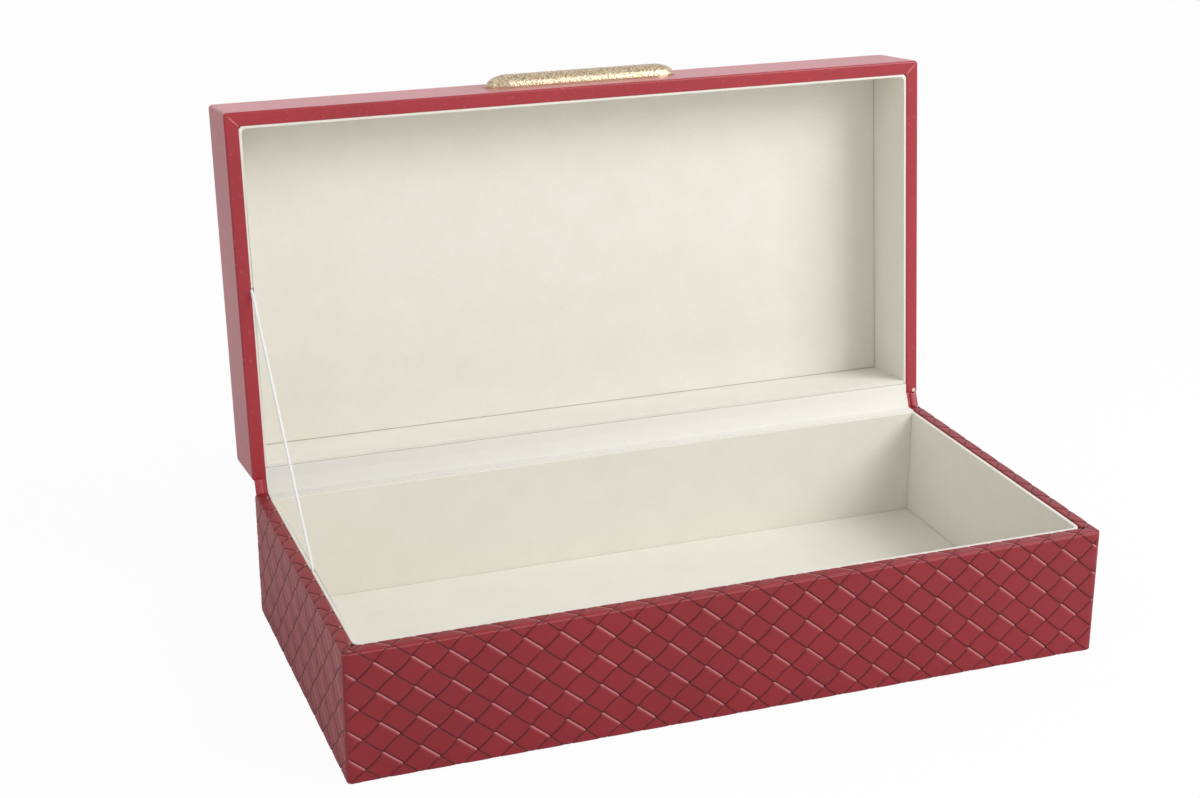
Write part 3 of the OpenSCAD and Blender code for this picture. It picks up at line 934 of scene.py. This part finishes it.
def makePull():
    bm = bmesh.new()
    around, rows = pull["rings"]
    bmesh.ops.create_uvsphere(bm, u_segments=around, v_segments=rows, radius=1)
    bmesh.ops.rotate(bm, verts=bm.verts, matrix=Matrix.Rotation(math.pi / 2, 3, "Y"))
    bmesh.ops.scale(bm, verts=bm.verts, vec=(pull["end"], pull["width"] / 2, pull["height"]))
    reach = pull["length"] / 2 - pull["end"]
    for v in bm.verts:
        v.co.x += reach * ((v.co.x > nearZero) - (v.co.x < -nearZero))
    for k in range(pull["lengthCuts"] + 1):
        cutAcross(bm, ((2 * k / pull["lengthCuts"] - 1) * reach, 0, 0), (1, 0, 0))
    cut = cutAcross(bm, (0, 0, 0), up, clear_inner=True)
    edges = [e for e in cut["geom_cut"] if isinstance(e, bmesh.types.BMEdge)]
    bmesh.ops.edgeloop_fill(bm, edges=edges)
    bm.normal_update()
    for v in bm.verts:
        if v.co.z > nearZero:
            spread = noise.voronoi(v.co / pull["pebble"])[0][0]
            lift = min(1.0, v.co.z / pull["smoothFoot"])
            v.co -= v.normal * pull["relief"] * spread * lift
    toLid = inLid() @ Matrix.Translation((pull["shift"], -box["halfDepth"], box["lidHeight"] / 2))
    bm.transform(toLid @ Matrix.Rotation(math.pi / 2, 4, "X") @ Matrix.Translation((0, 0, pull["plate"])))
    bmesh.ops.recalc_face_normals(bm, faces=bm.faces)
    piece("pull_dome", bm, "gold", ["pull_bar"], "lid", pull["smoothTo"])


makePull()
softPiece("base_tack", "base_corner_tack", tackEdge, "tack", "base")
softPiece("lid_tack", "lid_corner_tack", tackEdge, "tack", "lid")
print("pull and tacks made")

# Floor, light and camera. Each lamp has its power in watts, and its place.
studio = {
    "floorSize": 6,
    "floorColour": (0.94, 0.94, 0.94, 1),
    "floorWhite": 0.95,    # how much of the floor that the camera sees is plain white
    "white": (1, 1, 1, 1),
    "worldLight": 0.55,
    "lamps": {"key": (10, (0.75, -0.6, 0.8)), "fill": (1.5, (-1.1, -0.6, 0.7))},
    "lampSize": 0.7,
    "aim": Vector((0, 0, 0.09)),
}


def areaLight(name, power, place):
    lamp = bpy.data.lights.new(name, "AREA")
    lamp.energy, lamp.size = power, studio["lampSize"]
    made = bpy.data.objects.new(name, lamp)
    bpy.context.scene.collection.objects.link(made)
    made.location = place
    made.rotation_mode = "QUATERNION"
    made.rotation_quaternion = (studio["aim"] - Vector(place)).to_track_quat("-Z", "Y")


def makeFloor():
    bm = bmesh.new()
    bmesh.ops.create_grid(bm, x_segments=1, y_segments=1, size=studio["floorSize"])
    mesh = bpy.data.meshes.new("floor")
    bm.to_mesh(mesh)
    bm.free()
    f = Finish("paleFloor")
    matt = f.node("ShaderNodeBsdfDiffuse", inputs={"Color": studio["floorColour"]})
    white = f.node("ShaderNodeEmission", inputs={"Color": studio["white"], "Strength": 1.0})
    seen = f.node("ShaderNodeLightPath", output="Is Camera Ray")
    shared = f.node("ShaderNodeMixShader", inputs={0: seen * studio["floorWhite"], 1: matt, 2: white})
    mesh.materials.append(f.close(shared))
    floor = bpy.data.objects.new("floor", mesh)
    bpy.context.scene.collection.objects.link(floor)


def makeWorld():
    # White where it is seen or mirrored, and a plain level of light elsewhere
    f = Finish("studio", bpy.data.worlds.new("studio"))
    seen = f.node("ShaderNodeLightPath", output="Is Camera Ray")
    mirrored = f.node("ShaderNodeLightPath", output="Is Glossy Ray")
    either = f.node("ShaderNodeMath", {"operation": "MAXIMUM"}, {0: seen, 1: mirrored})
    level = f.span(either, 0, 1, (studio["worldLight"], 1.0))
    sky = f.node("ShaderNodeBackground", inputs={"Color": studio["white"], "Strength": level})
    bpy.context.scene.world = f.close(sky, "ShaderNodeOutputWorld")


# The camera that was fitted to the photo, with its lens and sensor in millimetres
view = {
    "place": Vector((-290.15, -708.66, 383.66)) * mm,
    "azimuth": math.radians(-20.218),
    "elevation": math.radians(20.391),
    "roll": math.radians(0.051),
    "lens": 63.41,
    "sensor": 36,
}


def makeCamera():
    data = bpy.data.cameras.new("camera")
    data.lens, data.sensor_width = view["lens"], view["sensor"]
    camera = bpy.data.objects.new("camera", data)
    bpy.context.scene.collection.objects.link(camera)
    a, e = view["azimuth"], view["elevation"]
    forward = Vector((-math.sin(a) * math.cos(e), math.cos(a) * math.cos(e), -math.sin(e)))
    camera.location = view["place"]
    camera.rotation_mode = "QUATERNION"
    level = forward.to_track_quat("-Z", "Y")
    camera.rotation_quaternion = level @ Matrix.Rotation(view["roll"], 3, "Z").to_quaternion()
    bpy.context.scene.camera = camera


makeFloor()
makeWorld()
for name, (power, place) in studio["lamps"].items():
    areaLight(name, power, place)
makeCamera()
bpy.context.scene.view_settings.view_transform = "Standard"
print("studio made")
